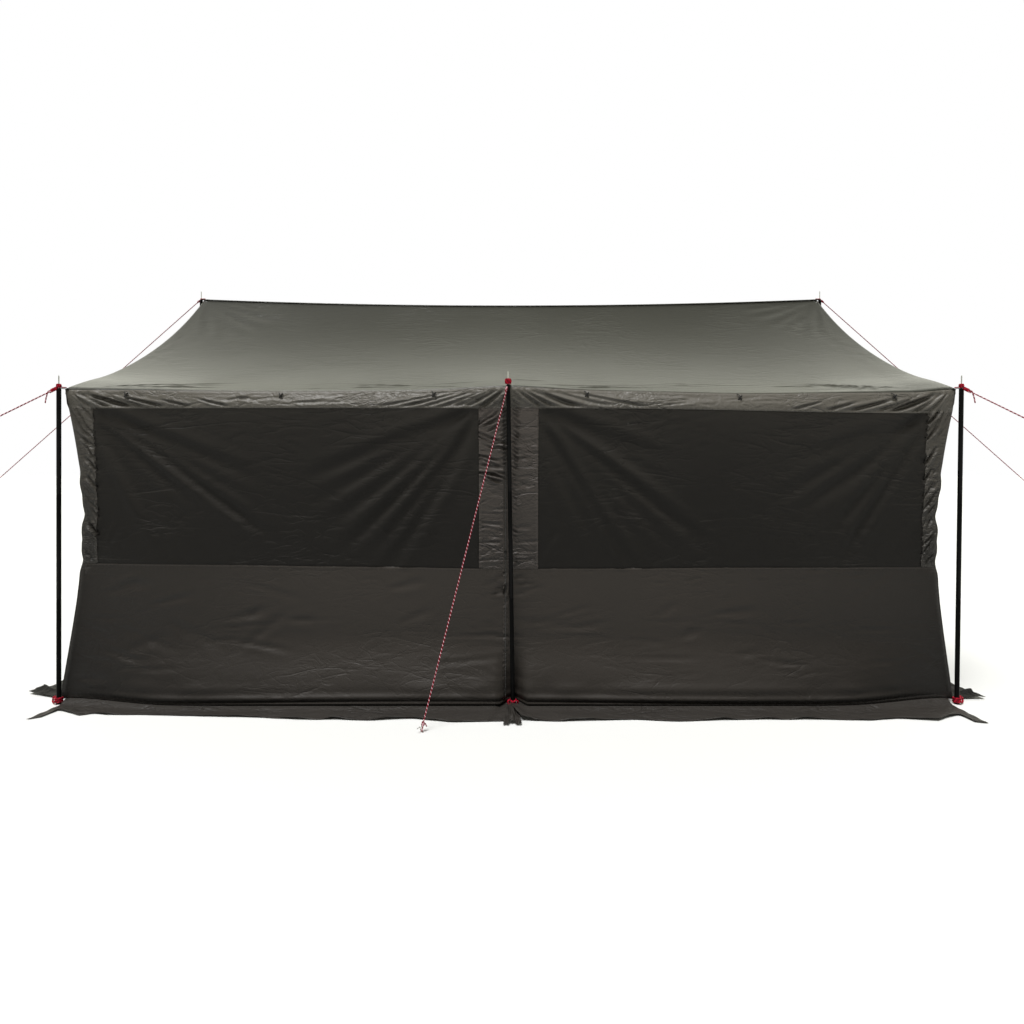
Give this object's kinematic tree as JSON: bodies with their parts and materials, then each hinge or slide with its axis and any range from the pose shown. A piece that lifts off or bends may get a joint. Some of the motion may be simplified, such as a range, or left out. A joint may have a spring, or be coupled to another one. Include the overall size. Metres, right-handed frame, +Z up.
{
  "type": "family ridge tent",
  "caption": "Ridge tent of coated grey cloth on black steel poles, with dark mesh windows, loose ground skirts and taut red guylines to pegs.",
  "frame": {"origin": "middle of the plan, on the ground", "axes": "+X along the ridge towards the right seen from the front, -Y towards the front, +Z up"},
  "size_m": [10.3256, 6.5554, 2.5399],
  "materials": {
    "roof_cloth": "coated polyester taffeta, satin",
    "wall_cloth": "coated polyester taffeta, satin",
    "lower_wall_cloth": "coated polyester taffeta, satin",
    "window_mesh": "fine knitted polyester mesh",
    "skirt_cloth": "coated polyester taffeta",
    "pole_steel": "black powder coat",
    "guy_cord": "braided polyester",
    "peg_steel": "zinc plated"
  },
  "bodies": {
    "root": {"back_centre_guyline": "guy_cord", "back_centre_peg": "peg_steel", "back_centre_pole": "pole_steel", "back_left_guyline": "guy_cord", "back_left_peg": "peg_steel", "back_left_pole": "pole_steel", "back_left_skirt": "skirt_cloth", "back_left_window": "window_mesh", "back_lower_wall": "lower_wall_cloth", "back_right_guyline": "guy_cord", "back_right_peg": "peg_steel", "back_right_pole": "pole_steel", "back_right_skirt": "skirt_cloth", "back_right_window": "window_mesh", "back_roof": "roof_cloth", "back_upper_wall": "wall_cloth", "front_centre_guyline": "guy_cord", "front_centre_peg": "peg_steel", "front_centre_pole": "pole_steel", "front_left_guyline": "guy_cord", "front_left_peg": "peg_steel", "front_left_pole": "pole_steel", "front_left_skirt": "skirt_cloth", "front_left_window": "window_mesh", "front_lower_wall": "lower_wall_cloth", "front_right_guyline": "guy_cord", "front_right_peg": "peg_steel", "front_right_pole": "pole_steel", "front_right_skirt": "skirt_cloth", "front_right_window": "window_mesh", "front_roof": "roof_cloth", "front_upper_wall": "wall_cloth", "left_back_skirt": "skirt_cloth", "left_front_skirt": "skirt_cloth", "left_lower_wall": "lower_wall_cloth", "left_ridge_guyline": "guy_cord", "left_ridge_peg": "peg_steel", "left_ridge_pole": "pole_steel", "left_upper_wall": "wall_cloth", "left_window": "window_mesh", "right_back_skirt": "skirt_cloth", "right_front_skirt": "skirt_cloth", "right_lower_wall": "lower_wall_cloth", "right_ridge_guyline": "guy_cord", "right_ridge_peg": "peg_steel", "right_ridge_pole": "pole_steel", "right_upper_wall": "wall_cloth", "right_window": "window_mesh"}
  },
  "joints": []
}
